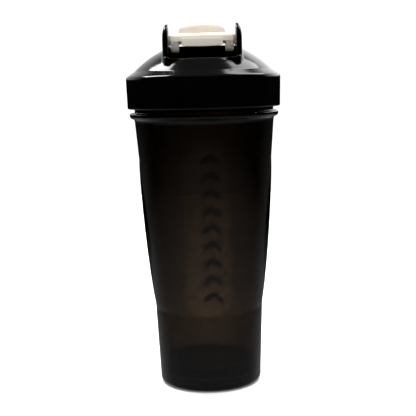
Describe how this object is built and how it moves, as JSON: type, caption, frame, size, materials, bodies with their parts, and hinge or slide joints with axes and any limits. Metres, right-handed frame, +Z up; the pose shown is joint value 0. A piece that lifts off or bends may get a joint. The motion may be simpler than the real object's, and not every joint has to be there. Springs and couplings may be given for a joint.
{
  "type": "protein shaker bottle",
  "caption": "Tall tapered drink shaker with a translucent smoke cup, domed black screw lid with a mixing grid clipped inside, and a hinged white flip cap over the spout.",
  "frame": {"origin": "on the bottle's axis, at the underside of the foot ring that it stands on", "axes": "+Z up along the bottle's axis; the flip cap's hinge is on the -Y side and the spout on the +Y side; +X is along the hinge pins"},
  "size_m": [0.093, 0.093, 0.221],
  "materials": {
    "smoke_polypropylene": "satin translucent smoke",
    "black_polypropylene": "gloss",
    "white_polypropylene": "semi-gloss",
    "silicone": "matt"
  },
  "bodies": {
    "bottle": {"bottle_body": "smoke_polypropylene"},
    "seal_ring": {"lid_seal_ring": "silicone"},
    "lid": {"screw_lid": "black_polypropylene", "mixing_grid": "white_polypropylene"},
    "cap": {"flip_cap": "white_polypropylene", "spout_plug_seal": "silicone"}
  },
  "joints": [
    {"name": "lid_lift", "type": "slide", "parent": "bottle", "child": "seal_ring", "axis": [0, 0, 1], "range_m": [0, 0.0205]},
    {"name": "lid_turn", "type": "hinge", "parent": "seal_ring", "child": "lid", "pos_m": [0, 0, 0.17], "axis": [0, 0, 1], "range_deg": [0, 720]},
    {"name": "cap_flip", "type": "hinge", "parent": "lid", "child": "cap", "pos_m": [0, -0.018, 0.208], "axis": [1, 0, 0], "range_deg": [0, 175]}
  ],
  "couplings": [
    {"joint": "lid_lift", "follows": "lid_turn", "m_per_rad": 0.0015915}
  ]
}
